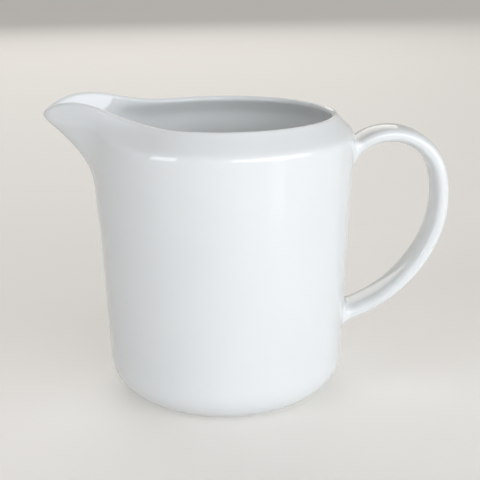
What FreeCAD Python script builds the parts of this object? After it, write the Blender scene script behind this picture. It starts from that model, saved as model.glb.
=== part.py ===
"""Porcelain milk jug: one cast and glazed piece with a flared spout and a strap handle.

Millimetres, +Z up, origin at the centre of the foot on the table. The spout points along -X
and the handle along +X. The outside and the hollow are made by the same form functions, the
hollow with the wall's thickness taken off.
"""
import FreeCAD
import Part
import math
import os

import Sketcher
from FreeCAD import Vector

NODE = "jug"
SHEET = "Sizes"

# every size that can be set on its own, in mm, and bends in degrees
SIZES = {
    # round body
    "base_radius": 38.95,        # the wall's line carried down to the table
    "shoulder_radius": 42.1,
    "shoulder_height": 86.2,
    "rim_height": 92.45,
    "mouth_radius": 35.9,        # outer edge of the rim before it is rounded
    "base_rounding": 11.5,
    "shoulder_rounding": 2.5,
    "rim_rounding": 0.9,
    # thickness
    "wall": 3.2,
    "shoulder_wall": 3.0,        # level thickness of the sloping shoulder
    "floor": 4.2,
    "hollow_rounding": 9.0,
    "foot_ring_inside": 24.0,
    "recess_radius": 22.0,
    "recess_depth": 1.6,
    # spout: grows out of the wall and flares up to the lip
    "spout_foot": 65.0,
    "spout_foot_reach": 40.8,
    "spout_foot_nose": 20.0,
    "spout_back_radius": 37.0,
    "lip_height": 92.5,
    "lip_reach": 57.3,
    "lip_nose": 8.5,
    # cheeks: the sloping shoulder carried on along both sides of the spout
    "cheek_reach": 56.0,
    "cheek_foot_nose": 6.3,
    "cheek_rim_nose": 7.8,
    "cheek_rounding": 5.0,
    # the lip's side line: it lifts off the rim, crests and falls to the tip
    "lip_rise_start": 13.0,
    "crest_reach": 46.0,
    "crest_height": 97.85,
    "crest_radius": 28.4,
    "lip_fall_radius": 15.0,
    # handle: a flat strap bent round its crown
    "crown_reach": 54.0,
    "crown_height": 85.0,
    "crown_bend": 16.8,
    "root_turn": 70.0,
    "crown_turn": 74.5,
    "back_bend": 35.5,
    "back_turn": 39.0,
    "tail_bend": 46.0,
    "tail_turn": 51.5,
    "strap_width": 13.0,
    "strap_thickness": 5.2,
    "strap_edge": 2.1,
    "upper_joint_rounding": 1.2,
    "lower_joint_rounding": 3.0,
}
FLARE_STEPS = (0.0, 0.25, 0.5, 0.75, 1.0, 1.3)   # shares of the flare's height
SLOPE_RUN_DOWN = 10.0            # the shoulder's trim starts this far under the shoulder
STOCK_TOP = 100.0                # the forms run up to here before the lip is cut
CLEAR = 5.0                      # how far a cutting form runs past what it cuts
TOUCH = 0.01                     # closer than this, an edge lies on a form
SLIGHT_FOLD = 15                 # degrees; an edge that turns more is a real edge
UP = Vector(0, 0, 1)


def cell(name):
    """The expression that reads one size from the sheet."""
    return f"{SHEET}.{name}"


def make_sheet(doc):
    sheet = doc.addObject("Spreadsheet::Sheet", SHEET)
    for row, (name, size) in enumerate(SIZES.items(), start=1):
        sheet.set(f"A{row}", name)
        sheet.set(f"B{row}", str(size))
        sheet.setAlias(f"B{row}", name)
    doc.recompute()


def value(holder, expression):
    return float(holder.evalExpression(expression))


# ---- sketches ----------------------------------------------------------------------------

def new_sketch(body, name, role, height=None):
    """A sketch on one of the body's own planes, or lifted off it to a height."""
    sketch = body.newObject("Sketcher::SketchObject", name)
    plane = next(f for f in body.Origin.OriginFeatures if f.Role == role)
    sketch.AttachmentSupport = [(plane, "")]
    sketch.MapMode = "FlatFace"
    if height:
        sketch.setExpression("AttachmentOffset.Base.z", height)
    return sketch


def dimension(sketch, kind, place, expression):
    """Add one dimension and bind it to an expression."""
    number = sketch.addConstraint(Sketcher.Constraint(kind, *place, value(sketch, expression)))
    sketch.setExpression(f"Constraints[{number}]", expression)


def pin(sketch, geometry, point, x, y):
    """Hold a point at x, y from the sketch's origin; each is an expression, or None for 0."""
    for kind, axis, expression in (("DistanceX", -2, x), ("DistanceY", -1, y)):
        if expression is None:
            sketch.addConstraint(Sketcher.Constraint("PointOnObject", geometry, point, axis))
        else:
            dimension(sketch, kind, (-1, 1, geometry, point), expression)


def polygon(sketch, corners):
    """A closed outline through corners given as pairs of expressions."""
    points = [Vector(*(value(sketch, e) if e else 0.0 for e in corner), 0) for corner in corners]
    for start, end in zip(points, points[1:] + points[:1]):
        sketch.addGeometry(Part.LineSegment(start, end), False)
    for line, corner in enumerate(corners):
        following = (line + 1) % len(corners)
        sketch.addConstraint(Sketcher.Constraint("Coincident", line, 2, following, 1))
        pin(sketch, line, 1, *corner)


def drop_outline(sketch, round_radius, nose_radius, nose_reach):
    """The plan of the jug at one height: the body's round, the nose, and their tangents."""
    radius, nose, reach = (value(sketch, e) for e in (round_radius, nose_radius, nose_reach))
    turn = math.acos(-(radius - nose) / (reach - nose))
    normal = Vector(math.cos(turn), math.sin(turn), 0)
    mirrored = Vector(normal.x, -normal.y, 0)
    centre = Vector(0, 0, 0)
    nose_centre = Vector(nose - reach, 0, 0)
    back = Part.ArcOfCircle(Part.Circle(centre, UP, radius), -turn, turn)
    left = Part.LineSegment(normal * radius, nose_centre + normal * nose)
    front = Part.ArcOfCircle(Part.Circle(nose_centre, UP, nose), turn, 2 * math.pi - turn)
    right = Part.LineSegment(nose_centre + mirrored * nose, mirrored * radius)
    for curve in (back, left, front, right):
        sketch.addGeometry(curve, False)
    for curve in range(4):
        sketch.addConstraint(Sketcher.Constraint("Tangent", curve, 2, (curve + 1) % 4, 1))
    sketch.addConstraint(Sketcher.Constraint("Coincident", 0, 3, -1, 1))
    dimension(sketch, "Radius", (0,), round_radius)
    dimension(sketch, "Radius", (2,), nose_radius)
    pin(sketch, 2, 3, f"{nose_radius} - ({nose_reach})", None)


# ---- forms -------------------------------------------------------------------------------

def edges_where(shape, test):
    return [f"Edge{n}" for n, edge in enumerate(shape.Edges, start=1) if test(edge)]


def walls(doc, name, inset, floor, rounding):
    """The tapered round wall with the spout's flare, standing on its floor."""
    body = doc.addObject("PartDesign::Body", name)
    taper = f"({cell('shoulder_radius')} - {cell('base_radius')}) / {cell('shoulder_height')}"
    foot = f"{cell('base_radius')} + {floor} * {taper} - {inset}"
    top = f"{cell('base_radius')} + {STOCK_TOP} * {taper} - {inset}"
    profile = new_sketch(body, name + "Profile", "XZ_Plane")
    polygon(profile, [(None, floor), (foot, floor), (top, str(STOCK_TOP)), (None, str(STOCK_TOP))])
    doc.recompute()
    turned = body.newObject("PartDesign::Revolution", name + "Turned")
    turned.Profile = profile
    turned.ReferenceAxis = (profile, ["V_Axis"])
    turned.Angle = 360
    doc.recompute()
    base = body.newObject("PartDesign::Fillet", name + "Base")
    level = value(profile, floor)
    base.Base = (turned, edges_where(
        turned.Shape, lambda e: abs(e.BoundBox.ZMax - level) < 1e-6 and e.Length > level))
    base.setExpression("Radius", rounding)
    doc.recompute()
    rise = f"({cell('lip_height')} - {cell('spout_foot')})"
    run = f"({cell('lip_reach')} - {cell('spout_foot_reach')})"
    sections = []
    for number, share in enumerate(FLARE_STEPS):
        plan = new_sketch(body, f"{name}Flare{number}", "XY_Plane",
                          f"{cell('spout_foot')} + {share} * {rise}")
        nose = (f"({cell('spout_foot_nose')} + {share} * ({cell('lip_nose')}"
                f" - {cell('spout_foot_nose')}) - {inset})")
        reach = f"{cell('spout_foot_reach')} + {share ** 2} * {run} - {inset}"
        drop_outline(plan, f"{cell('spout_back_radius')} - {inset}", nose, reach)
        sections.append(plan)
    doc.recompute()
    flare = body.newObject("PartDesign::AdditiveLoft", name + "Flare")
    flare.Profile = sections[0]
    flare.Sections = sections[1:]
    doc.recompute()
    return body


def shoulder_trim(doc, name, inset):
    """What the sloping shoulder leaves: a wide drum with a drop-shaped spire on it."""
    body = doc.addObject("PartDesign::Body", name)
    slope_height = f"({cell('rim_height')} - {cell('shoulder_height')})"
    levels = (f"{cell('shoulder_height')} - {SLOPE_RUN_DOWN}", f"{STOCK_TOP + CLEAR}")
    plans = []
    for number, level in enumerate(levels):
        share = f"({level} - {cell('shoulder_height')}) / {slope_height}"
        plan = new_sketch(body, f"{name}Plan{number}", "XY_Plane", level)
        radius = (f"({cell('shoulder_radius')} + {share} * ({cell('mouth_radius')}"
                  f" - {cell('shoulder_radius')}) - {inset})")
        nose = (f"({cell('cheek_foot_nose')} + {share} * ({cell('cheek_rim_nose')}"
                f" - {cell('cheek_foot_nose')}) - {inset})")
        drop_outline(plan, radius, nose, f"{cell('cheek_reach')} + {nose}")
        plans.append(plan)
    drum = new_sketch(body, name + "Drum", "XZ_Plane")
    width = f"{cell('lip_reach')} + {3 * CLEAR}"
    polygon(drum, [(None, f"-{CLEAR}"), (width, f"-{CLEAR}"), (width, levels[0]),
                   (None, levels[0])])
    doc.recompute()
    turned = body.newObject("PartDesign::Revolution", name + "DrumTurned")
    turned.Profile = drum
    turned.ReferenceAxis = (drum, ["V_Axis"])
    turned.Angle = 360
    spire = body.newObject("PartDesign::AdditiveLoft", name + "Spire")
    spire.Profile = plans[0]
    spire.Sections = plans[1:]
    spire.Ruled = True
    doc.recompute()
    return body


def combine(doc, kind, name, *parts):
    """A boolean of two or more forms."""
    result = doc.addObject(kind, name)
    if kind == "Part::Cut":
        result.Base, result.Tool = parts
    else:
        result.Shapes = list(parts)
    doc.recompute()
    return result


def lip_cut(doc, name):
    """Everything above the rim and above the rising, falling line of the lip."""
    body = doc.addObject("PartDesign::Body", name)
    outline = new_sketch(body, name + "Line", "XZ_Plane")
    rim = cell("rim_height")
    far = f"({cell('lip_reach')} + {3 * CLEAR})"
    top = str(STOCK_TOP + 2 * CLEAR)
    tip = f"{cell('crest_height')} - {cell('lip_fall_radius')}"
    rise_start, crest, crest_z, crest_r, fall_r, rim_z, far_x, top_z, tip_z = (
        value(outline, expression) for expression in (
            cell("lip_rise_start"), cell("crest_reach"), cell("crest_height"),
            cell("crest_radius"), cell("lip_fall_radius"), rim, far, top, tip))
    # the hollow bend that lifts the rim touches both the rim's line and the crest's bend
    across = crest - rise_start
    down = crest_z - crest_r - rim_z
    rise_r = (across ** 2 + down ** 2 - crest_r ** 2) / (2 * (crest_r + down))
    rise_centre = Vector(-rise_start, rim_z + rise_r, 0)
    crest_centre = Vector(-crest, crest_z - crest_r, 0)
    fall_centre = Vector(-crest, tip_z, 0)
    lean = rise_centre - crest_centre
    meet = math.atan2(lean.y, lean.x)
    quarter = math.pi / 2
    rise, bend, fall, shelf, end, lid, side, level = range(8)
    curves = (
        Part.ArcOfCircle(Part.Circle(rise_centre, UP, rise_r), meet - math.pi, -quarter),
        Part.ArcOfCircle(Part.Circle(crest_centre, UP, crest_r), meet, quarter),
        Part.ArcOfCircle(Part.Circle(fall_centre, UP, fall_r), quarter, math.pi),
        Part.LineSegment(Vector(-crest - fall_r, tip_z, 0), Vector(-far_x, tip_z, 0)),
        Part.LineSegment(Vector(-far_x, tip_z, 0), Vector(-far_x, top_z, 0)),
        Part.LineSegment(Vector(-far_x, top_z, 0), Vector(far_x, top_z, 0)),
        Part.LineSegment(Vector(far_x, top_z, 0), Vector(far_x, rim_z, 0)),
        Part.LineSegment(Vector(far_x, rim_z, 0), Vector(-rise_start, rim_z, 0)))
    for curve in curves:
        outline.addGeometry(curve, False)
    for joint in ((level, 2, rise, 2), (rise, 1, bend, 1), (bend, 2, fall, 1)):
        outline.addConstraint(Sketcher.Constraint("Tangent", *joint))
    for joint in ((fall, 2, shelf, 1), (shelf, 2, end, 1), (end, 2, lid, 1), (lid, 2, side, 1),
                  (side, 2, level, 1)):
        outline.addConstraint(Sketcher.Constraint("Coincident", *joint))
    pin(outline, bend, 3, f"-{cell('crest_reach')}", f"{cell('crest_height')} - {cell('crest_radius')}")
    dimension(outline, "Radius", (bend,), cell("crest_radius"))
    dimension(outline, "Radius", (fall,), cell("lip_fall_radius"))
    dimension(outline, "DistanceX", (-1, 1, fall, 3), f"-{cell('crest_reach')}")
    pin(outline, level, 2, f"-{cell('lip_rise_start')}", rim)
    dimension(outline, "DistanceY", (-1, 1, shelf, 1), tip)
    pin(outline, end, 1, f"-{far}", tip)
    pin(outline, lid, 1, f"-{far}", top)
    pin(outline, side, 1, far, top)
    pin(outline, level, 1, far, rim)
    doc.recompute()
    block = body.newObject("PartDesign::Pad", name + "Block")
    block.Profile = outline
    block.setExpression("Length", f"4 * {cell('shoulder_radius')}")
    block.Midplane = True
    doc.recompute()
    return body


def bent_line(sketch, side, bends):
    """Arcs that touch end to end from the handle's crown down; side is 1 or -1 along X."""
    centre = Vector(value(sketch, cell("crown_reach")), value(sketch, cell("crown_height")), 0)
    turned = math.pi / 2
    last_radius = 0.0
    crown_end, low_end = (2, 1) if side > 0 else (1, 2)
    for number, (bend, turn) in enumerate(bends):
        radius = value(sketch, cell(bend))
        sweep = math.radians(value(sketch, cell(turn)))
        centre += Vector(math.cos(turned), math.sin(turned), 0) * (last_radius - radius)
        following = turned - side * sweep
        arc = Part.ArcOfCircle(Part.Circle(centre, UP, radius), min(turned, following),
                               max(turned, following))
        sketch.addGeometry(arc, False)
        if number:
            sketch.addConstraint(Sketcher.Constraint(
                "Tangent", number - 1, low_end, number, crown_end))
        else:
            pin(sketch, 0, 3, cell("crown_reach"), f"{cell('crown_height')} - {cell(bend)}")
            dimension(sketch, "DistanceX", (-1, 1, 0, crown_end), cell("crown_reach"))
        dimension(sketch, "Radius", (number,), cell(bend))
        span = sketch.addConstraint(Sketcher.Constraint("Angle", number, sweep))
        sketch.setExpression(f"Constraints[{span}]", f"{cell(turn)} * 1 deg")
        turned = following
        last_radius = radius


def strap_section(sketch):
    """The strap's flat section with its four long edges rounded."""
    radius = value(sketch, cell("strap_edge"))
    half_width = f"({cell('strap_width')} / 2 - {cell('strap_edge')})"
    half_thickness = f"({cell('strap_thickness')} / 2 - {cell('strap_edge')})"
    crown = cell("crown_height")
    corners = ((half_width, f"{crown} + {half_thickness}"),
               (f"-{half_width}", f"{crown} + {half_thickness}"),
               (f"-{half_width}", f"{crown} - {half_thickness}"),
               (half_width, f"{crown} - {half_thickness}"))
    centres = [Vector(value(sketch, x), value(sketch, y), 0) for x, y in corners]
    quarter = math.pi / 2
    for number, centre in enumerate(centres):
        sketch.addGeometry(Part.ArcOfCircle(
            Part.Circle(centre, UP, radius), number * quarter, (number + 1) * quarter), False)
    for number, centre in enumerate(centres):
        outward = Vector(math.cos((number + 1) * quarter), math.sin((number + 1) * quarter), 0)
        following = centres[(number + 1) % 4]
        sketch.addGeometry(Part.LineSegment(
            centre + outward * radius, following + outward * radius), False)
    for number, corner in enumerate(corners):
        line = number + 4
        sketch.addConstraint(Sketcher.Constraint("Tangent", number, 2, line, 1))
        sketch.addConstraint(Sketcher.Constraint("Tangent", line, 2, (number + 1) % 4, 1))
        pin(sketch, number, 3, *corner)
        dimension(sketch, "Radius", (number,), cell("strap_edge"))


def strap(doc, name):
    """The handle: one section carried both ways from the crown into the wall."""
    body = doc.addObject("PartDesign::Body", name)
    section = new_sketch(body, name + "Section", "YZ_Plane", cell("crown_reach"))
    strap_section(section)
    root = new_sketch(body, name + "RootLine", "XZ_Plane")
    bent_line(root, -1, (("crown_bend", "root_turn"),))
    back = new_sketch(body, name + "BackLine", "XZ_Plane")
    bent_line(back, 1, (("crown_bend", "crown_turn"), ("back_bend", "back_turn"),
                        ("tail_bend", "tail_turn")))
    doc.recompute()
    for line in (root, back):
        pipe = body.newObject("PartDesign::AdditivePipe", line.Name + "Pipe")
        pipe.Profile = section
        pipe.Spine = (line, [f"Edge{n}" for n in range(1, len(line.Shape.Edges) + 1)])
        doc.recompute()
    return body


# ---- rounded edges -----------------------------------------------------------------------

def middle(edge):
    return edge.valueAt((edge.FirstParameter + edge.LastParameter) / 2)


def fold(shape, edge):
    """How many degrees the surface turns at an edge."""
    faces = shape.ancestorsOfType(edge, Part.Face)
    if len(faces) < 2:
        return 0.0
    point = middle(edge)
    normals = [face.normalAt(*face.Surface.parameter(point)) for face in faces[:2]]
    return math.degrees(normals[0].getAngle(normals[1]))


def round_edges(doc, name, base, size, test):
    """Round the edges of a form that pass the test, by one size from the sheet."""
    sheet = doc.getObject(SHEET)
    radius = float(sheet.get(size))
    shape = base.Shape
    picked = [(n, radius, radius) for n, edge in enumerate(shape.Edges, start=1)
              if test(edge, edge.BoundBox, fold(shape, edge))]
    result = doc.addObject("Part::Fillet", name)
    result.Base = base
    result.Edges = picked
    doc.recompute()
    return result


def on_skin(form, edge):
    """Whether an edge was made by a form that was cut away."""
    return form.Shape.distToShape(Part.Vertex(middle(edge)))[0] < TOUCH


# ---- the jug -----------------------------------------------------------------------------

def outside_form(doc, size):
    """The solid outer form with its handle, the joints and soft edges rounded."""
    half_height = size["rim_height"] / 2
    walls_form = walls(doc, "Outside", "0", "0", cell("base_rounding"))
    shoulder = shoulder_trim(doc, "Shoulder", "0")
    form = combine(doc, "Part::MultiCommon", "Form", walls_form, shoulder)
    handle = strap(doc, "Handle")
    joined = combine(doc, "Part::MultiFuse", "Joined", form, handle)

    def at_joint(edge, box, turn):
        at_wall = size["base_radius"] - 1 < box.XMin and box.XMax < size["crown_reach"] - 2 * CLEAR
        small = edge.Length < size["strap_width"] and box.YMax < size["strap_width"]
        return at_wall and small and turn > SLIGHT_FOLD

    lower = round_edges(doc, "LowerJoint", joined, "lower_joint_rounding",
                        lambda edge, box, turn: at_joint(edge, box, turn) and box.ZMax < half_height)
    upper = round_edges(doc, "UpperJoint", lower, "upper_joint_rounding",
                        lambda edge, box, turn: at_joint(edge, box, turn) and box.ZMin > half_height)
    low = size["shoulder_height"] - SLOPE_RUN_DOWN / 4
    corner = round_edges(doc, "Corner", upper, "shoulder_rounding",
                         lambda edge, box, turn: box.ZMin > low and box.ZMax < STOCK_TOP
                         and 2 * SLIGHT_FOLD < turn < 4 * SLIGHT_FOLD
                         and abs(box.YMax + box.YMin) > 1)
    return round_edges(doc, "Cheeks", corner, "cheek_rounding",
                       lambda edge, box, turn: box.ZMin > size["spout_foot"]
                       and box.ZMax < size["lip_height"] + 2 and middle(edge).x < -30
                       and SLIGHT_FOLD / 2 < turn < 2 * SLIGHT_FOLD + CLEAR)


def jug(doc):
    """The whole jug: hollowed, its lip cut, its foot recessed and its rim rounded."""
    sheet = doc.getObject(SHEET)
    size = {name: float(sheet.get(name)) for name in SIZES}
    solid = outside_form(doc, size)
    inside = walls(doc, "Inside", cell("wall"), cell("floor"), cell("hollow_rounding"))
    inner_shoulder = shoulder_trim(doc, "InnerShoulder", cell("shoulder_wall"))
    hollow = combine(doc, "Part::MultiCommon", "Hollow", inside, inner_shoulder)
    shell = combine(doc, "Part::Cut", "Shell", solid, hollow)
    lip = lip_cut(doc, "Lip")
    open_shell = combine(doc, "Part::Cut", "OpenShell", shell, lip)
    recess = doc.addObject("Part::Cone", "FootRecess")
    recess.setExpression("Radius1", cell("foot_ring_inside"))
    recess.setExpression("Radius2", cell("recess_radius"))
    recess.setExpression("Height", cell("recess_depth"))
    footed = combine(doc, "Part::Cut", "Footed", open_shell, recess)
    rim = size["rim_height"] - 1
    inner_rim = round_edges(doc, "InnerRim", footed, "rim_rounding",
                            lambda edge, box, turn: box.ZMin > rim and turn > SLIGHT_FOLD
                            and on_skin(hollow, edge))
    return round_edges(doc, "Jug", inner_rim, "rim_rounding",
                       lambda edge, box, turn: box.ZMin > rim and 40 < turn < 50
                       and not on_skin(hollow, edge))


def main():
    doc = FreeCAD.newDocument("MilkJug")
    make_sheet(doc)
    part = jug(doc)
    part.Label = NODE
    doc.recompute()
    for item in doc.Objects:
        if "Invalid" in item.State or "Error" in item.State:
            raise RuntimeError(f"{item.Label}: {item.State}")
    if part.Shape.isNull() or not part.Shape.isValid() or len(part.Shape.Solids) != 1:
        raise RuntimeError("the jug is not one sound solid")
    print(NODE, "volume", round(part.Shape.Volume, 1), "mm3, faces", len(part.Shape.Faces))
    os.makedirs("parts", exist_ok=True)
    part.Shape.exportStep(os.path.join("parts", NODE + ".step"))


main()
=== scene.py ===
"""Porcelain milk jug, glazed inside and out, standing on a pale table.

Shapes are worked out in millimetres in the jug's own frame: +Z up, the spout towards -X, the
handle towards +X, the centre of the foot at the origin. They are scaled to metres at the end.
"""

import math

import bmesh
import bpy
from mathutils import Matrix, Vector


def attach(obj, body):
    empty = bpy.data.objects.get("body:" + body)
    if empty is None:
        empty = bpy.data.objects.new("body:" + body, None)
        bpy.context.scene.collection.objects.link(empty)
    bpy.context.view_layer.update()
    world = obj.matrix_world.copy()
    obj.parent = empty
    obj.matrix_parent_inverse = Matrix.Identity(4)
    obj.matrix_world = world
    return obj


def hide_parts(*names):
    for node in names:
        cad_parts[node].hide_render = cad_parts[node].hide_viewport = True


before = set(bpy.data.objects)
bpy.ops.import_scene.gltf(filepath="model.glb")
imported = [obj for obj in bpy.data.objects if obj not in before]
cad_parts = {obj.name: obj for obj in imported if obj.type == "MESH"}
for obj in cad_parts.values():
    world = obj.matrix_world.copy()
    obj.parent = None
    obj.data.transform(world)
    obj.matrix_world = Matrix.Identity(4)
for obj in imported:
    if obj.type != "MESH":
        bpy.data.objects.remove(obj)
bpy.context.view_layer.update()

MM = 0.001

# ---- sizes of the jug, mm ------------------------------------------------------------------

FOOT_RADIUS = 38.95        # the wall's line carried down to the table
SHOULDER_RADIUS = 42.1
SHOULDER_HEIGHT = 86.2
MOUTH_RADIUS = 35.9        # outer edge of the sloping shoulder, at rim height
RIM_HEIGHT = 92.45
BASE_ROUNDING = 11.5
SHOULDER_SOFTNESS = 2.2    # how far each side of the shoulder's corner the glaze rounds it
WALL = 3.2
EDGE_THICKNESS = 2.1       # the wall at the rim, measured square to it
INSIDE_SOFTER = 1.5        # the hollow's corners are this much softer than the outside's
FLOOR = 4.2
HOLLOW_ROUNDING = 9.0

SPOUT_FOOT = 65.0          # the spout starts to grow out of the wall here
SPOUT_FOOT_REACH = 40.8
SPOUT_FOOT_NOSE = 20.0
SPOUT_FADE = 15.0          # below its foot the spout sinks back into the wall over this much
SPOUT_SINK = 0.03          # how fast it sinks, mm for each mm squared
SPOUT_BACK_RADIUS = 37.0
SPOUT_BACK_CLEAR = 0.6     # at the lip the spout's own circle stands this far outside the mouth
LIP_HEIGHT = 92.5
LIP_REACH = 58.1
LIP_NOSE = 8.4
CREASE_SOFTNESS = 5.0      # where the spout's sides leave the round wall
RIDGE_SOFTNESS = 2.6       # where the sloping shoulder passes over the spout's sides
TIP_SOFTNESS = 7.0         # the same edge fading out round the tip
TIP_ENDS = (0.12, 0.5)     # radians from the spout over which the one gives way to the other
RIDGE_ENDS = (0.8, 1.2)    # and over which the ridge gives way to the shoulder's corner
TOP_BEGINS = 12.0          # the shoulder is let into the wall from this far under its corner
LIP_SIDE_INSET = 0.5       # above the rim the lip's side stands upright, this far inside it
LIP_SIDE_SOFTNESS = 3.0

LIP_RISE_START = 13.0
CREST_REACH = 46.0
CREST_HEIGHT = 97.85
CREST_RADIUS = 28.4
LIP_FALL_RADIUS = 15.0
LIP_FALL_SHARE = 0.98      # the fall's circle is followed this far, short of upright

FOOT_RING_OUTSIDE = 27.6
FOOT_RING_INSIDE = 24.4
FOOT_RING_SLOPE = ((-0.5, 0.28), (-0.25, 0.1), (0.0, 0.02), (0.3, 0.0))  # outwards, upwards
RECESS_RADIUS = 22.0
RECESS_DEPTH = 1.6
RECESS_EDGE = 1.0          # rounding of the recess's rim

CROWN_REACH = 54.0
CROWN_HEIGHT = 85.0
ROOT_BEND = (16.8, 70.0)                       # radius, degrees turned, towards the body
BACK_BENDS = ((16.8, 74.5), (35.5, 39.0), (46.0, 52.0))
STRAP_HALF_WIDTH = 6.5
STRAP_HALF_THICKNESS = 2.6
STRAP_SQUARENESS = 2.7     # 2 is an oval, higher is squarer
ROOT_SPREAD = 3.8          # how far the handle's upper joint spreads over the body
TAIL_SPREAD = 3.6          # and its lower joint
TUCK_RUN = 0.8             # past there the joint's edge runs on under the wall's skin
TUCK_DEPTH = 0.12
LEAST_LEAVE = 1.5          # and starts to spread at least this far out on the strap
CORNER_CLEAR = 0.8         # the upper joint stops this far under the shoulder's corner
END_DEPTH = 1.2            # how far inside the wall each end of the handle is closed

TAPER = math.atan((SHOULDER_RADIUS - FOOT_RADIUS) / SHOULDER_HEIGHT)


# ---- forms ---------------------------------------------------------------------------------

PROBE = 0.05               # mm stepped to each side to find a slope
PROBE_TURN = PROBE / 40.0  # the same step as an angle, at about the jug's radius
RIM_TRIES = 30
RIM_STEP = 0.6             # share of the remaining error taken off at each try


def soft_max(a, b, softness):
    overlap = max(softness - abs(a - b), 0.0) / softness
    return max(a, b) + overlap ** 3 * softness / 6


def soft_min(a, b, softness):
    return -soft_max(-a, -b, softness)


def mix(a, b, share):
    return a + (b - a) * share


def smooth_share(place, start, end):
    """0 before the start, 1 after the end, with an easy change between."""
    t = min(max((place - start) / (end - start), 0.0), 1.0)
    return t * t * (3 - 2 * t)


def drop_radius(angle, radius, nose, centre):
    """Radius of a drop-shaped plan: a circle, a smaller nose circle and their tangents."""
    lean = math.acos(max(-1.0, min(1.0, (radius - nose) / centre)))
    if angle >= lean:
        return radius
    nose_start = math.atan2(nose * math.sin(lean), centre + nose * math.cos(lean))
    if angle >= nose_start:
        return radius / math.cos(lean - angle)
    across = centre * math.sin(angle)
    return centre * math.cos(angle) + math.sqrt(max(nose * nose - across * across, 0.0))


def wall_radius(height):
    return FOOT_RADIUS + (SHOULDER_RADIUS - FOOT_RADIUS) * height / SHOULDER_HEIGHT


def shoulder_line(height):
    """Radius of the sloping shoulder; above the rim it turns upright into the lip's side."""
    slope = (SHOULDER_RADIUS - MOUTH_RADIUS) / (RIM_HEIGHT - SHOULDER_HEIGHT)
    sloping = MOUTH_RADIUS - (height - RIM_HEIGHT) * slope
    return soft_max(sloping, MOUTH_RADIUS - LIP_SIDE_INSET, LIP_SIDE_SOFTNESS)


def shoulder_steepness(height):
    """How much longer a level cut through the sloping wall is than its thickness."""
    fall = (shoulder_line(height - PROBE) - shoulder_line(height + PROBE)) / (2 * PROBE)
    return math.sqrt(1.0 + fall * fall)


def spout_radius(angle, height, inset):
    """The spout's own drop-shaped plan, which narrows and reaches out as it rises."""
    share = max(height - SPOUT_FOOT, 0.0) / (LIP_HEIGHT - SPOUT_FOOT)
    inset += SPOUT_SINK * max(SPOUT_FOOT - height, 0.0) ** 2
    held = min(share, 1.0)
    nose = mix(SPOUT_FOOT_NOSE, LIP_NOSE, held)
    reach = mix(SPOUT_FOOT_REACH, LIP_REACH, share ** 2)
    back = mix(SPOUT_BACK_RADIUS, MOUTH_RADIUS + SPOUT_BACK_CLEAR, held ** 3)
    return drop_radius(angle, back - inset, nose - inset, reach - nose)


def form_radius(angle, height, inside=False):
    """The jug's radius at an angle from the spout (radians), outside or inside."""
    inset = WALL if inside else 0.0
    radius = wall_radius(height) - inset
    if height > SPOUT_FOOT - SPOUT_FADE:
        radius = soft_max(radius, spout_radius(angle, height, inset), CREASE_SOFTNESS)
    if height > SHOULDER_HEIGHT - TOP_BEGINS:
        thickness = EDGE_THICKNESS * shoulder_steepness(height) if inside else 0.0
        line = shoulder_line(height)
        nose = LIP_NOSE + line - MOUTH_RADIUS
        top = drop_radius(angle, line - thickness, nose - thickness, LIP_REACH - LIP_NOSE)
        softness = mix(TIP_SOFTNESS, RIDGE_SOFTNESS, smooth_share(angle, *TIP_ENDS))
        softness = mix(softness, SHOULDER_SOFTNESS, smooth_share(angle, *RIDGE_ENDS))
        radius = soft_min(radius, top, softness + (INSIDE_SOFTER if inside else 0.0))
    return radius


def lip_height(back_from_axis):
    """Height of the rim at a distance towards the spout."""
    if back_from_axis <= LIP_RISE_START:
        return RIM_HEIGHT
    across = CREST_REACH - LIP_RISE_START
    centre_height = CREST_HEIGHT - CREST_RADIUS
    down = centre_height - RIM_HEIGHT
    rise_radius = (across ** 2 + down ** 2 - CREST_RADIUS ** 2) / (2 * (CREST_RADIUS + down))
    meet = LIP_RISE_START + across * rise_radius / (rise_radius + CREST_RADIUS)
    if back_from_axis < meet:
        run = back_from_axis - LIP_RISE_START
        return RIM_HEIGHT + rise_radius - math.sqrt(rise_radius ** 2 - run ** 2)
    if back_from_axis < CREST_REACH:
        run = back_from_axis - CREST_REACH
        return centre_height + math.sqrt(CREST_RADIUS ** 2 - run ** 2)
    run = min(back_from_axis - CREST_REACH, LIP_FALL_RADIUS * LIP_FALL_SHARE)
    return CREST_HEIGHT - LIP_FALL_RADIUS + math.sqrt(LIP_FALL_RADIUS ** 2 - run ** 2)


def around_axis(angle, radius, height):
    return Vector((-radius * math.cos(angle), radius * math.sin(angle), height))


def outside_point(angle, height):
    """A point of the outside; angle 0 is the spout, pi the handle, and less than 0 is towards
    -Y."""
    return around_axis(angle, form_radius(abs(angle), height), height)


def outside_normal(angle, height):
    around = (outside_point(angle + PROBE_TURN, height)
              - outside_point(angle - PROBE_TURN, height))
    rise = outside_point(angle, height + PROBE) - outside_point(angle, height - PROBE)
    normal = around.cross(rise).normalized()
    outward = Vector((-math.cos(angle), math.sin(angle), 0.0))
    return normal if normal.dot(outward) > 0 else -normal


def rim_start(angle):
    """Height on the outside where the rim's round begins, so that it tops out at the lip."""
    edge = EDGE_THICKNESS / 2
    height = RIM_HEIGHT
    for _ in range(RIM_TRIES):
        point = outside_point(angle, height)
        normal = outside_normal(angle, height)
        centre = point - normal * edge
        wanted = lip_height(-centre.x) - edge * (1.0 - normal.z)
        height = mix(height, wanted, RIM_STEP)
    return height


# ---- the body ------------------------------------------------------------------------------

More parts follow.
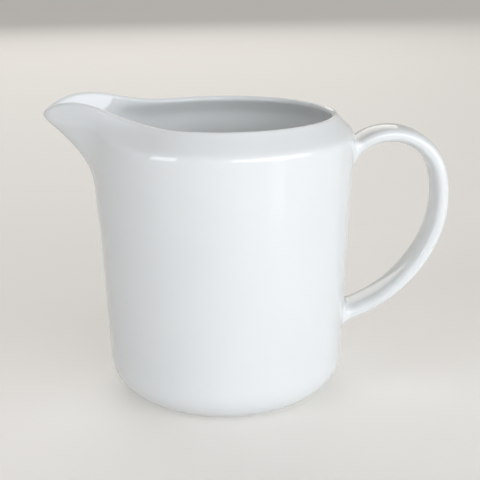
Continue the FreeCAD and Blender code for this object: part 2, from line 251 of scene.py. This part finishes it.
ROWS_OUTSIDE = 130
ROWS_INSIDE = 80
ROWS_RIM = 14
ROWS_HOLLOW_BEND = 12
ROWS_BASE_BEND = 15
DENSITY_STEPS = 400        # pieces a wall is cut into while its rows are shared out
DENSER_FROM = 58.0         # rows begin to close up at this height
DENSER_OVER = 20.0         # and are closest this much higher
DENSER_BY = 2.2
RIM_OFFSET_FADE = 6.0      # below the rim the inside eases on to its own form over this much
RECESS_ROWS = (3.0, 8.0, 13.0, 17.0, 20.0)
RECESS_EDGE_ROWS = 5
FOOT_SLOPE_ROWS = (0.4, 0.75, 1.0)             # shares of the way down to the foot ring
FOOT_FLAT_ROWS = (0.35, 0.7, 1.0)              # and across the part it stands on
FLOOR_ROWS = (0.8, 0.6, 0.4, 0.2, 0.08)        # shares of the floor's radius
# Degrees round from the spout: where each run starts, its step and how many there are. They are
# closest together round the spout's nose.
COLUMN_RUNS = ((0.0, 0.75, 16), (12.0, 1.0, 48), (60.0, 2.5, 48))


def row_density(height):
    """How close together the rows are at a height: closest round the spout and the rim."""
    return 1.0 + DENSER_BY * min(max((height - DENSER_FROM) / DENSER_OVER, 0.0), 1.0)


def spaced(low, high, count):
    """Heights from low to high, closer together where the rows are denser."""
    total = [0.0]
    for n in range(DENSITY_STEPS):
        total.append(total[-1] + row_density(mix(low, high, (n + 0.5) / DENSITY_STEPS)))
    heights = []
    place = 0
    for n in range(count):
        wanted = total[-1] * n / (count - 1)
        while place < DENSITY_STEPS - 1 and total[place + 1] < wanted:
            place += 1
        share = (wanted - total[place]) / (total[place + 1] - total[place])
        heights.append(mix(low, high, (place + share) / DENSITY_STEPS))
    return heights


def base_profile():
    """Radius and height from the middle of the underside out over the foot ring and up the
    base's rounding; then the height where the wall starts, and the bare foot ring's rows."""
    centre = (FOOT_RADIUS + BASE_ROUNDING * math.tan(TAPER)) - BASE_ROUNDING / math.cos(TAPER)
    lowest = RECESS_DEPTH - RECESS_EDGE
    profile = [(r, RECESS_DEPTH) for r in RECESS_ROWS]
    for n in range(RECESS_EDGE_ROWS + 1):
        turn = math.pi / 2 * n / RECESS_EDGE_ROWS
        profile.append((RECESS_RADIUS - RECESS_EDGE + RECESS_EDGE * math.sin(turn),
                        lowest + RECESS_EDGE * math.cos(turn)))
    (first_out, first_up), *slope = FOOT_RING_SLOPE
    profile += [(mix(RECESS_RADIUS, FOOT_RING_INSIDE + first_out, s),
                 lowest * (1 - s) + first_up * s) for s in FOOT_SLOPE_ROWS]
    profile += [(FOOT_RING_INSIDE + out, up) for out, up in slope]
    bare_start = len(profile) - 2
    profile += [(mix(FOOT_RING_INSIDE + slope[-1][0], FOOT_RING_OUTSIDE, s), 0.0)
                for s in FOOT_FLAT_ROWS]
    bare_rows = range(bare_start, len(profile))
    for n in range(1, ROWS_BASE_BEND):
        turn = (math.pi / 2 - TAPER) * n / ROWS_BASE_BEND
        profile.append((centre + BASE_ROUNDING * math.sin(turn),
                        BASE_ROUNDING - BASE_ROUNDING * math.cos(turn)))
    wall_start = BASE_ROUNDING - BASE_ROUNDING * math.sin(TAPER)
    return profile, wall_start, bare_rows


def outside_column(angle, profile, wall_start):
    """One line of points from the underside's middle up the outside to where the rim's round
    begins, and that height."""
    points = [around_axis(angle, radius, height) for radius, height in profile]
    top = rim_start(angle)
    points += [outside_point(angle, h) for h in spaced(wall_start, top, ROWS_OUTSIDE)]
    return points, top


def rim_arc(edge_point, normal, along):
    """The rounded rim: half a circle from the outside over to the inside."""
    half = EDGE_THICKNESS / 2
    over = normal.cross(along).normalized()
    if over.z < 0:
        over = -over
    centre = edge_point - normal * half
    return [centre + (normal * math.cos(turn) + over * math.sin(turn)) * half
            for turn in (math.pi * n / ROWS_RIM for n in range(1, ROWS_RIM + 1))]


def inside_column(start):
    """From the rim's inner edge down the inside to the middle of the floor."""
    angle = math.atan2(start.y, -start.x)
    off = math.hypot(start.x, start.y) - form_radius(abs(angle), start.z, inside=True)
    bend_height = FLOOR + HOLLOW_ROUNDING
    bend_top = bend_height - HOLLOW_ROUNDING * math.sin(TAPER)
    points = []
    for height in reversed(spaced(bend_top, start.z, ROWS_INSIDE)[:-1]):
        fade = math.exp(-((start.z - height) / RIM_OFFSET_FADE) ** 2)
        points.append((form_radius(abs(angle), height, inside=True) + off * fade, height))
    centre = wall_radius(bend_height) - WALL - HOLLOW_ROUNDING / math.cos(TAPER)
    for n in range(1, ROWS_HOLLOW_BEND + 1):
        turn = (math.pi / 2 - TAPER) * (1 - n / ROWS_HOLLOW_BEND)
        points.append((centre + HOLLOW_ROUNDING * math.sin(turn),
                       bend_height - HOLLOW_ROUNDING * math.cos(turn)))
    points += [(centre * share, FLOOR) for share in FLOOR_ROWS]
    return [around_axis(angle, radius, height) for radius, height in points]


def column_angles():
    """Angles all the way round: down one half of the jug and back up the other."""
    half = [math.radians(start + n * step)
            for start, step, count in COLUMN_RUNS for n in range(count)]
    return half + [math.pi] + [-a for a in reversed(half[1:])]


def body_mesh(mesh):
    angles = column_angles()
    count = len(angles)
    profile, wall_start, bare_rows = base_profile()
    outer = [outside_column(angle, profile, wall_start) for angle in angles]
    edges = [points[-1] for points, _ in outer]
    columns = []
    for n, (points, top) in enumerate(outer):
        along = edges[(n + 1) % count] - edges[n - 1]
        arc = rim_arc(edges[n], outside_normal(angles[n], top), along)
        columns.append(points + arc + inside_column(arc[-1]))
    rows = len(columns[0])
    grid = [[mesh.verts.new(point * MM) for point in line] for line in columns]
    for n in range(count):
        left, right = grid[n], grid[(n + 1) % count]
        for row in range(rows - 1):
            face = mesh.faces.new((left[row], left[row + 1], right[row + 1], right[row]))
            face.material_index = 1 if row in bare_rows else 0
    for row, height in ((0, RECESS_DEPTH), (rows - 1, FLOOR)):
        middle = mesh.verts.new(Vector((0, 0, height)) * MM)
        for n in range(count):
            a, b = grid[n][row], grid[(n + 1) % count][row]
            mesh.faces.new((middle, a, b) if row == 0 else (middle, b, a))


# ---- the handle ----------------------------------------------------------------------------

LINE_SPACING = 0.35        # mm between the points its joints are worked out on
PLAIN_STEP = 2             # every second of them carries a ring of the plain strap
SECTION_POINTS = 48
APPROACH_RINGS = 8
JOINT_RINGS = 12


def handle_line(bends, side):
    """Points down one side of the handle from its crown, each with its outward direction."""
    centre = Vector((CROWN_REACH, 0.0, CROWN_HEIGHT))
    turned = 0.0
    last_radius = 0.0
    line = []
    for radius, degrees in bends:
        outward = Vector((side * math.sin(turned), 0.0, math.cos(turned)))
        centre += outward * (last_radius - radius)
        sweep = math.radians(degrees)
        steps = max(int(radius * sweep / LINE_SPACING), 2)
        for n in range(steps + 1):
            if n == 0 and line:
                continue
            here = turned + sweep * n / steps
            outward = Vector((side * math.sin(here), 0.0, math.cos(here)))
            line.append((centre + outward * radius, outward))
        turned += sweep
        last_radius = radius
    return line


def section_point(place, number):
    """A point of the strap's section: a squared oval, flat across Y."""
    centre, outward = place
    turn = 2 * math.pi * number / SECTION_POINTS
    power = 2.0 / STRAP_SQUARENESS
    across = math.copysign(abs(math.cos(turn)) ** power, math.cos(turn)) * STRAP_HALF_WIDTH
    through = math.copysign(abs(math.sin(turn)) ** power, math.sin(turn)) * STRAP_HALF_THICKNESS
    return centre + Vector((0.0, across, 0.0)) + outward * through


def outside_gap(point):
    """How far a point stands off the body's outside, level with it."""
    angle = math.atan2(abs(point.y), -point.x)
    return math.hypot(point.x, point.y) - form_radius(angle, point.z)


def on_outside(point):
    angle = math.atan2(point.y, -point.x)
    return outside_point(angle, point.z)


def along_track(track, place):
    """A point part of the way along a row of points."""
    start = min(int(place), len(track) - 2)
    return track[start].lerp(track[start + 1], place - start)


def walk_back(track, place, distance):
    """The place along a row of points that lies a distance before another place."""
    walked = 0.0
    while walked < distance and place > 1:
        before = int(math.ceil(place)) - 1
        walked += (track[before] - track[before + 1]).length * (place - before)
        place = before
    return place


def joint_rings(line, spread):
    """Where a handle's end meets the body: rings that spread from the strap on to the wall."""
    tracks = [[section_point(place, number) for place in line]
              for number in range(SECTION_POINTS)]
    hits = []
    for track in tracks:
        hit = next(n for n, point in enumerate(track) if outside_gap(point) < 0.0)
        near, far = outside_gap(track[hit - 1]), outside_gap(track[hit])
        hits.append(hit - 1 + near / (near - far))
    foot = [along_track(track, hit) for track, hit in zip(tracks, hits)]
    middle = sum(foot, Vector()) / len(foot)
    leaves, guides, landed, tucked = [], [], [], []
    for number, point in enumerate(foot):
        around = foot[(number + 1) % SECTION_POINTS] - foot[number - 1]
        away = around.cross(outside_normal(math.atan2(point.y, -point.x), point.z)).normalized()
        if away.dot(point - middle) < 0:
            away = -away
        reach = spread
        if away.z > 0.0:
            room = SHOULDER_HEIGHT - CORNER_CLEAR - TUCK_RUN - point.z
            reach = min(spread, room / max(away.z, 0.01))
        end = on_outside(point + away * reach)
        normal = outside_normal(math.atan2(end.y, -end.x), end.z)
        along = end - point
        along -= normal * along.dot(normal)
        leaves.append(walk_back(tracks[number], hits[number], max(reach, LEAST_LEAVE)))
        guides.append(end - along)
        landed.append(end)
        tucked.append(on_outside(end + along.normalized() * TUCK_RUN) - normal * TUCK_DEPTH)
    last = int(min(leaves)) - 1
    rings = []
    for step in range(1, APPROACH_RINGS + 1):
        share = step / (APPROACH_RINGS + 1)
        rings.append([along_track(track, mix(last, leave, share))
                      for track, leave in zip(tracks, leaves)])
    for step in range(JOINT_RINGS + 1):
        t = step / JOINT_RINGS
        rings.append([along_track(tracks[n], leaves[n]) * (1 - t) ** 2
                      + guides[n] * 2 * t * (1 - t) + landed[n] * t * t
                      for n in range(SECTION_POINTS)])
    rings.append(tucked)
    return rings, last, middle


def handle_mesh(mesh):
    root = handle_line((ROOT_BEND,), -1.0)
    back = handle_line(BACK_BENDS, 1.0)
    rings = []
    for line, spread in ((root, ROOT_SPREAD), (back, TAIL_SPREAD)):
        spread_rings, last, middle = joint_rings(line, spread)
        plain = [[section_point(line[n], number) for number in range(SECTION_POINTS)]
                 for n in range(0, last - 1, PLAIN_STEP)]
        inside = [point.lerp(middle, 0.5) - Vector((END_DEPTH, 0, 0))
                  for point in spread_rings[-1]]
        rings.append(plain + spread_rings + [inside])
    whole = list(reversed(rings[0])) + rings[1][1:]
    grid = [[mesh.verts.new(point * MM) for point in ring] for ring in whole]
    for near, far in zip(grid, grid[1:]):
        for n in range(SECTION_POINTS):
            following = (n + 1) % SECTION_POINTS
            mesh.faces.new((near[n], near[following], far[following], far[n]))
    mesh.faces.new(list(reversed(grid[0])))
    mesh.faces.new(grid[-1])


# ---- finishes ------------------------------------------------------------------------------

GLAZE_POOL = 28            # mm across the patches where the glaze lies a little thicker
GLAZE_WAVE = 9             # mm between the slight waves of its surface
FOOT_GRAIN = 0.6           # mm; the real grain is far finer, and is drawn this coarse to show
TABLE_MOTTLE = 60          # mm across the table's faint cloudiness
TABLE_PALE = "#dedcd8"
TABLE_LIFT = 0.36          # how much of the table's paleness doesn't wait for the lamps


def linear(code):
    """An sRGB hex colour as the linear colour the shaders take."""
    parts = [int(code[n:n + 2], 16) / 255 for n in (1, 3, 5)]
    return tuple(p / 12.92 if p <= 0.04045 else ((p + 0.055) / 1.055) ** 2.4
                 for p in parts) + (1.0,)


def add(tree, kind, settings=None, links=None):
    """A node with its settings and the sockets that feed it."""
    node = tree.nodes.new(kind)
    for name, setting in (settings or {}).items():
        if isinstance(name, int) or name in node.inputs:
            node.inputs[name].default_value = setting
        else:
            setattr(node, name, setting)
    for name, source in (links or {}).items():
        tree.links.new(source, node.inputs[name])
    return node


def new_material(name):
    material = bpy.data.materials.new(name)
    material.use_nodes = True
    material.node_tree.nodes.clear()
    return material, material.node_tree


def glazed_porcelain():
    """Cast porcelain under a clear feldspar glaze: cool white, glassy, very slightly wavy."""
    material, tree = new_material("glazed_porcelain")
    place = add(tree, "ShaderNodeTexCoord").outputs["Object"]
    pooling = add(tree, "ShaderNodeTexNoise",
                  {"Scale": 1 / (GLAZE_POOL * MM), "Detail": 2.0, "Roughness": 0.5},
                  {"Vector": place})
    body = add(tree, "ShaderNodeMix", {"data_type": "RGBA"})
    body.inputs[6].default_value = linear("#eef0ef")
    body.inputs[7].default_value = linear("#e9ecec")
    tree.links.new(pooling.outputs["Fac"], body.inputs[0])
    waves = add(tree, "ShaderNodeTexNoise", {"Scale": 1 / (GLAZE_WAVE * MM), "Detail": 1.5},
                {"Vector": place})
    surface = add(tree, "ShaderNodeBump", {"Strength": 0.05, "Distance": 0.15 * MM},
                  {"Height": waves.outputs["Fac"]})
    shader = add(tree, "ShaderNodeBsdfPrincipled",
                 {"Roughness": 0.05, "IOR": 1.5, "Subsurface Weight": 0.2,
                  "Subsurface Radius": (1.0, 0.9, 0.8), "Subsurface Scale": 1.5 * MM},
                 {"Base Color": body.outputs[2], "Normal": surface.outputs["Normal"]})
    add(tree, "ShaderNodeOutputMaterial", links={"Surface": shader.outputs["BSDF"]})
    return material


def bare_foot():
    """Porcelain wiped clean of glaze before firing: matt, fine-grained and a little grey."""
    material, tree = new_material("unglazed_foot")
    place = add(tree, "ShaderNodeTexCoord").outputs["Object"]
    grain = add(tree, "ShaderNodeTexNoise", {"Scale": 1 / (FOOT_GRAIN * MM), "Detail": 4.0},
                {"Vector": place})
    body = add(tree, "ShaderNodeMix", {"data_type": "RGBA"})
    body.inputs[6].default_value = linear("#e3e0da")
    body.inputs[7].default_value = linear("#cfcac2")
    tree.links.new(grain.outputs["Fac"], body.inputs[0])
    surface = add(tree, "ShaderNodeBump", {"Strength": 0.3, "Distance": 0.05 * MM},
                  {"Height": grain.outputs["Fac"]})
    shader = add(tree, "ShaderNodeBsdfPrincipled", {"Roughness": 0.75},
                 {"Base Color": body.outputs[2], "Normal": surface.outputs["Normal"]})
    add(tree, "ShaderNodeOutputMaterial", links={"Surface": shader.outputs["BSDF"]})
    return material


def ray_seen(tree):
    """1 where the background is looked at, straight or in a glaze, and 0 where it only lights."""
    ray = add(tree, "ShaderNodeLightPath").outputs
    seen = ray["Is Camera Ray"]
    for kind in ("Is Glossy Ray", "Is Transmission Ray"):
        either = add(tree, "ShaderNodeMath", {"operation": "MAXIMUM"}, {0: seen, 1: ray[kind]})
        seen = either.outputs[0]
    return seen


def table_top():
    """A smooth laminate table, pale, plain and matt. Part of its paleness is its own, so that it
    stays pale where the lamps don't reach it, and it still takes the jug's shadow."""
    material, tree = new_material("pale_table")
    place = add(tree, "ShaderNodeTexCoord").outputs["Object"]
    mottle = add(tree, "ShaderNodeTexNoise", {"Scale": 1 / (TABLE_MOTTLE * MM), "Detail": 3.0},
                 {"Vector": place})
    body = add(tree, "ShaderNodeMix", {"data_type": "RGBA"})
    body.inputs[6].default_value = linear(TABLE_PALE)
    body.inputs[7].default_value = linear("#d9d7d3")
    tree.links.new(mottle.outputs["Fac"], body.inputs[0])
    shader = add(tree, "ShaderNodeBsdfPrincipled", {"Roughness": 0.6},
                 {"Base Color": body.outputs[2]})
    lift = add(tree, "ShaderNodeMath", {"operation": "MULTIPLY", 1: TABLE_LIFT},
               {0: ray_seen(tree)})
    glow = add(tree, "ShaderNodeEmission", {"Color": linear(TABLE_PALE)},
               {"Strength": lift.outputs[0]})
    both = add(tree, "ShaderNodeAddShader", links={0: shader.outputs[0], 1: glow.outputs[0]})
    add(tree, "ShaderNodeOutputMaterial", links={"Surface": both.outputs[0]})
    return material


# ---- the pieces ----------------------------------------------------------------------------

def make_piece(name, build, materials):
    mesh = bmesh.new()
    build(mesh)
    bmesh.ops.recalc_face_normals(mesh, faces=mesh.faces)
    data = bpy.data.meshes.new(name)
    mesh.to_mesh(data)
    mesh.free()
    for polygon in data.polygons:
        polygon.use_smooth = True
    for material in materials:
        data.materials.append(material)
    piece = bpy.data.objects.new(name, data)
    bpy.context.scene.collection.objects.link(piece)
    return piece


glaze = glazed_porcelain()
jug_body = make_piece("jug_body", body_mesh, (glaze, bare_foot()))
jug_handle = make_piece("jug_handle", handle_mesh, (glaze,))
for piece in (jug_body, jug_handle):
    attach(piece, "root")
    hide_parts("jug")


# ---- table, light and camera ---------------------------------------------------------------

TABLE_HALF = 3.0           # m
AIM_HEIGHT = 0.05          # m, where the lamps point
# Each lamp's name, degrees round from the front, degrees up, distance, width and height in
# metres, power in watts and colour.
LAMPS = (
    ("right_window", 40, 14, 1.2, 1.7, 0.60, 13.4, "#f4f8ff"),
    ("left_window", -54, 14, 1.2, 0.5, 0.60, 4.4, "#f4f8ff"),
    ("ceiling", 0, 80, 1.4, 1.2, 1.2, 1.2, "#fffaf4"),
    ("back_fill", 188, 32, 1.5, 1.4, 1.0, 7.0, "#fbf8f4"),
    ("card", 41, 8, 0.22, 0.05, 0.18, 0.025, "#ffffff"),
)
ROOM_STRENGTH = 0.16       # the dim room that lights the jug; what is seen of it is pale

CAMERA_LENS = 69.0
CAMERA_DISTANCE = 293.9    # mm from the jug's axis, level
CAMERA_HEIGHT = 140.8
CAMERA_SWING = math.radians(2.0)
CAMERA_YAW, CAMERA_PITCH, CAMERA_ROLL = 0.017, 0.3014, -0.0063


def make_floor():
    mesh = bmesh.new()
    corners = [mesh.verts.new((x * TABLE_HALF, y * TABLE_HALF, 0.0))
               for x, y in ((-1, -1), (1, -1), (1, 1), (-1, 1))]
    mesh.faces.new(corners)
    data = bpy.data.meshes.new("table")
    mesh.to_mesh(data)
    mesh.free()
    data.materials.append(table_top())
    floor = bpy.data.objects.new("table", data)
    bpy.context.scene.collection.objects.link(floor)


def softbox(name, azimuth, elevation, distance, width, height, power, colour):
    """A soft lamp aimed at the jug; azimuth 0 is in front of it, towards -Y."""
    data = bpy.data.lights.new(name, "AREA")
    data.shape = "RECTANGLE"
    data.size = width
    data.size_y = height
    data.energy = power
    data.color = linear(colour)[:3]
    lamp = bpy.data.objects.new(name, data)
    turn, lift = math.radians(azimuth), math.radians(elevation)
    target = Vector((0.0, 0.0, AIM_HEIGHT))
    lamp.location = target + distance * Vector((
        math.sin(turn) * math.cos(lift), -math.cos(turn) * math.cos(lift), math.sin(lift)))
    lamp.rotation_euler = (lamp.location - target).to_track_quat("Z", "Y").to_euler()
    bpy.context.scene.collection.objects.link(lamp)


def light_the_scene():
    """A wide window in front on the right, a narrower one on the left, and a dim room."""
    for lamp in LAMPS:
        softbox(*lamp)
    world = bpy.data.worlds.new("studio")
    world.use_nodes = True
    tree = world.node_tree
    tree.nodes.clear()
    seen = ray_seen(tree)
    room = add(tree, "ShaderNodeBackground",
               {"Color": linear("#e0d6cc"), "Strength": ROOM_STRENGTH})
    pale = add(tree, "ShaderNodeBackground", {"Color": linear("#c9c6c1"), "Strength": 1.0})
    sky = add(tree, "ShaderNodeMixShader", links={0: seen, 1: room.outputs[0], 2: pale.outputs[0]})
    add(tree, "ShaderNodeOutputWorld", links={"Surface": sky.outputs[0]})
    bpy.context.scene.world = world


def make_camera():
    """Standing in front and a little above, with a short telephoto view."""
    swing, pitch, roll = CAMERA_SWING, CAMERA_PITCH, CAMERA_ROLL
    yaw = CAMERA_YAW + swing
    distance, height = CAMERA_DISTANCE * MM, CAMERA_HEIGHT * MM
    forward = Vector((math.sin(yaw) * math.cos(pitch), math.cos(yaw) * math.cos(pitch),
                      -math.sin(pitch)))
    right = Vector((math.cos(yaw), -math.sin(yaw), 0.0))
    up = right.cross(forward)
    rolled_right = right * math.cos(roll) + up * math.sin(roll)
    rolled_up = up * math.cos(roll) - right * math.sin(roll)
    data = bpy.data.cameras.new("camera")
    data.lens = CAMERA_LENS
    data.sensor_width = 36.0
    data.clip_start = 0.01
    camera = bpy.data.objects.new("camera", data)
    turn = Matrix((rolled_right, rolled_up, -forward)).transposed()
    place = Vector((-distance * math.sin(swing), -distance * math.cos(swing), height))
    camera.matrix_world = Matrix.Translation(place) @ turn.to_4x4()
    bpy.context.scene.collection.objects.link(camera)
    bpy.context.scene.camera = camera


make_floor()
light_the_scene()
make_camera()
bpy.context.scene.view_settings.view_transform = "Standard"

bpy.context.view_layer.update()
